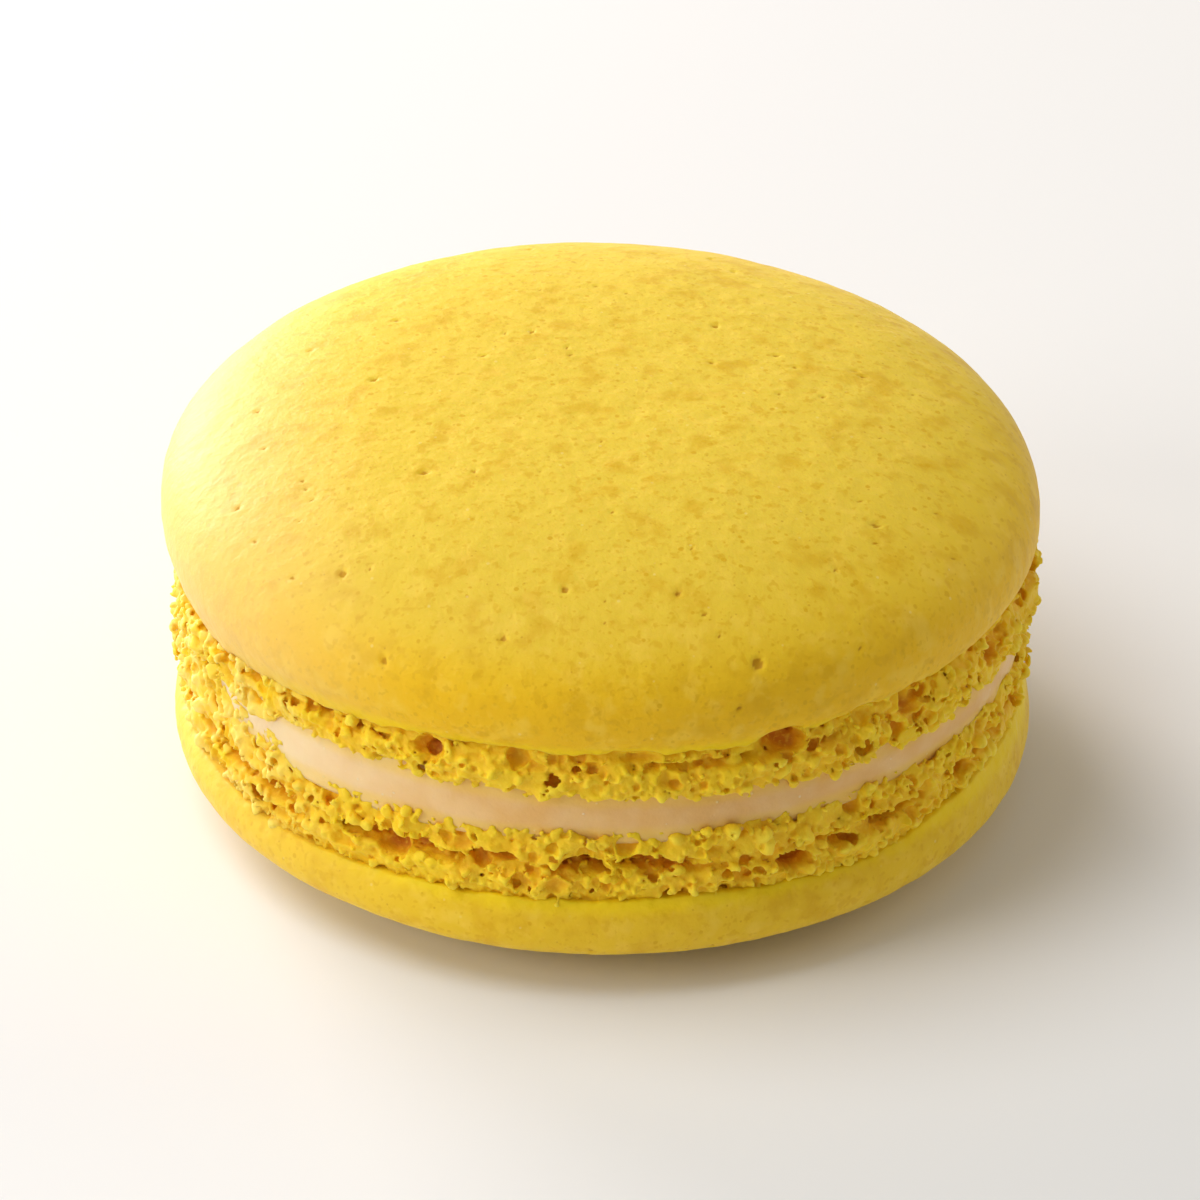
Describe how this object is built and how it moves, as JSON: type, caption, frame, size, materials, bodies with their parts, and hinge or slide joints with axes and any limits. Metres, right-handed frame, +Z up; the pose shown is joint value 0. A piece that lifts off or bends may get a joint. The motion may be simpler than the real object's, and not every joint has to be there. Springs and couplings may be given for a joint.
{
  "type": "filled macaron",
  "caption": "Round filled macaron: two smooth domed meringue shells with crumbly ruffled feet and a thin layer of pale cream between them.",
  "frame": {"origin": "centre of the flat spot that the lower dome rests on", "axes": "+Z up through both shells, -Y towards the front that the picture shows"},
  "size_m": [0.0467, 0.046, 0.023],
  "materials": {
    "shell": "satin",
    "cream": "satin"
  },
  "bodies": {
    "root": {"lower_shell": "shell", "cream_filling": "cream", "upper_shell": "shell"}
  },
  "joints": []
}
